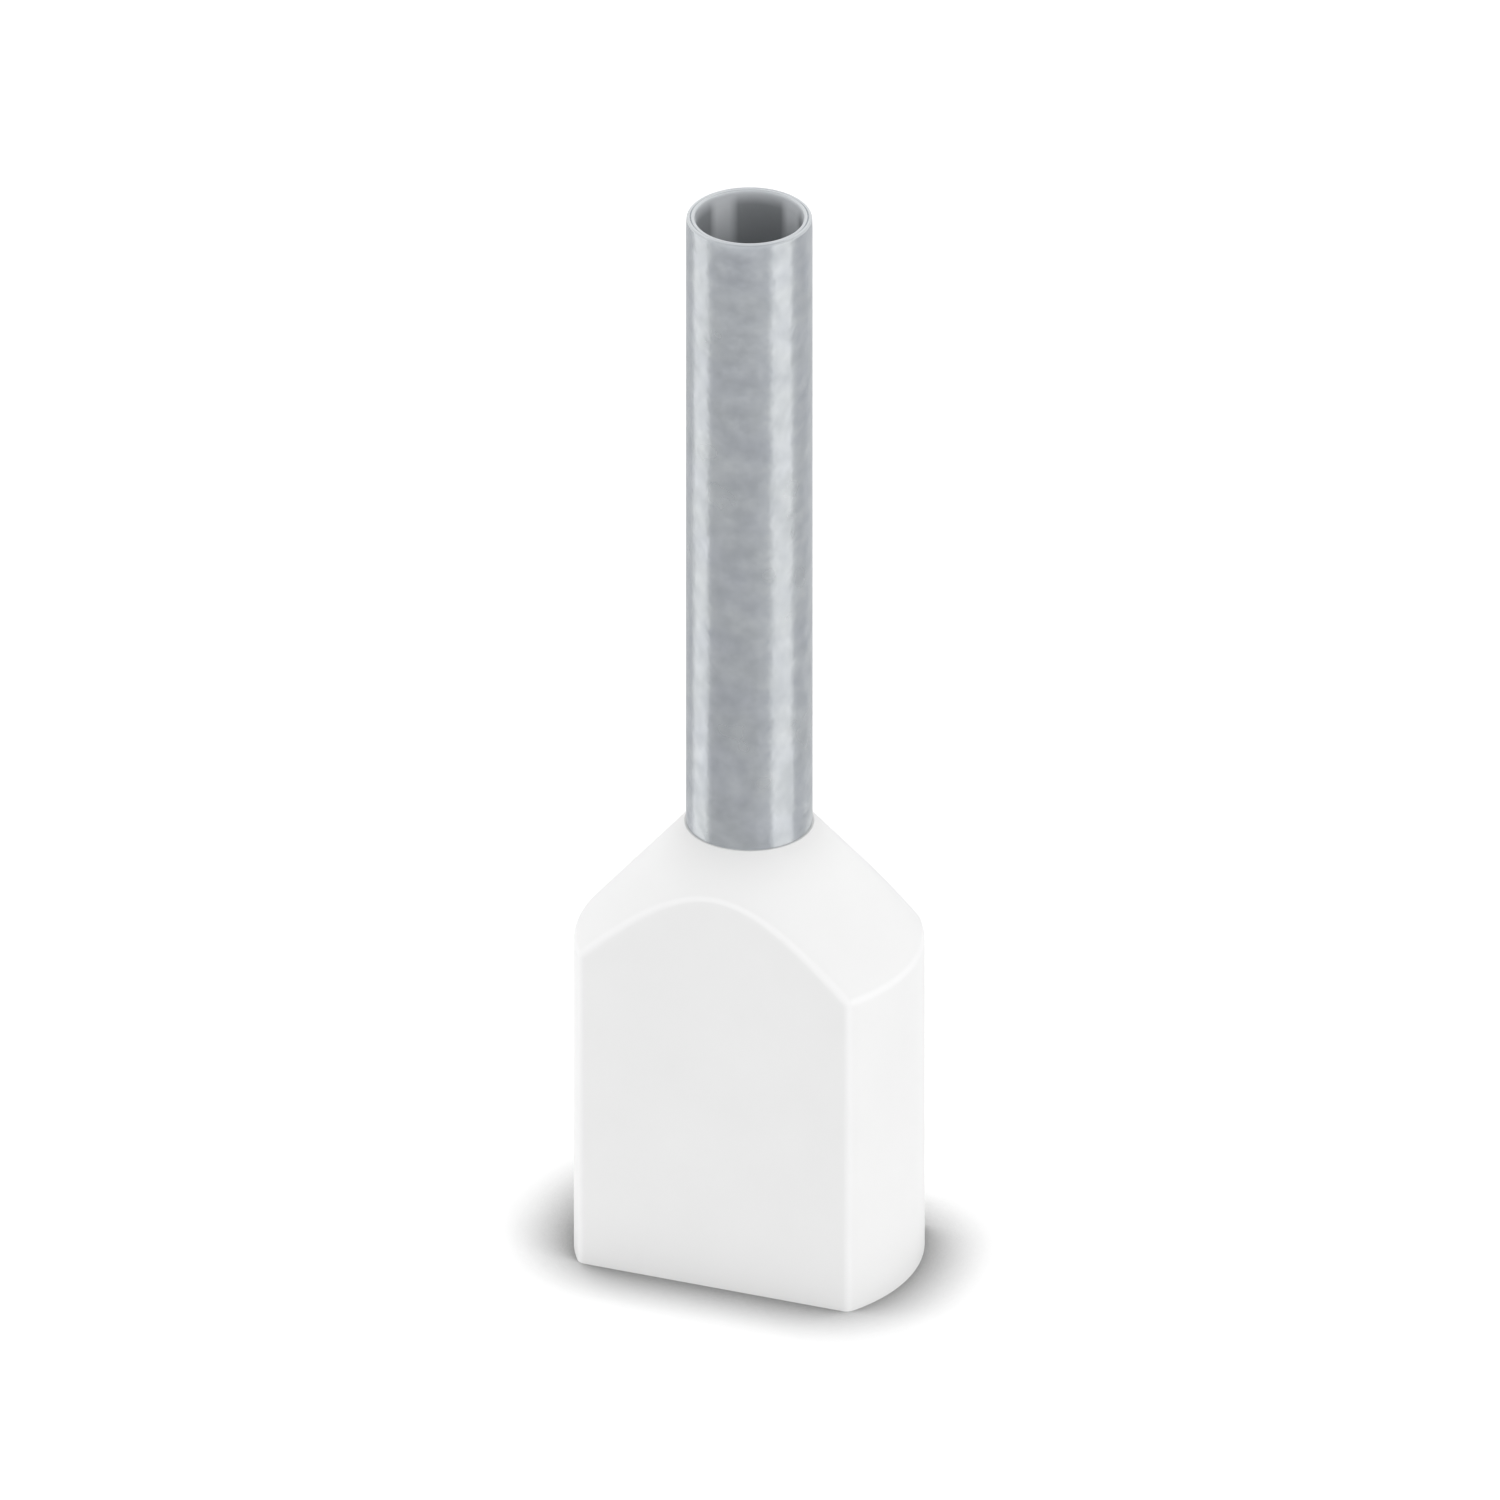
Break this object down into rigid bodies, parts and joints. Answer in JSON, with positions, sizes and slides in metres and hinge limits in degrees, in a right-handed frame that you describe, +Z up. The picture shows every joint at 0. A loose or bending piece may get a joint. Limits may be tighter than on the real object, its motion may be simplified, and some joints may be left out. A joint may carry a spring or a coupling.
{
  "type": "wire ferrule",
  "caption": "Insulated twin end sleeve: a thin tinned tube with a flared foot in a white collar with a conical shoulder and flat sides, crimped onto a pair of stranded conductors.",
  "frame": {"origin": "middle of the collar's mouth, in the plane of the rim that the part stands on", "axes": "+Z up along the sleeve's axis towards its free end, +X along the collar's width, +Y through the collar's thickness"},
  "size_m": [0.0052, 0.0028, 0.017],
  "materials": {
    "tinned_copper": "satin",
    "white_plastic": "satin"
  },
  "bodies": {
    "root": {"contact_sleeve": "tinned_copper", "insulating_collar": "white_plastic"}
  },
  "joints": []
}
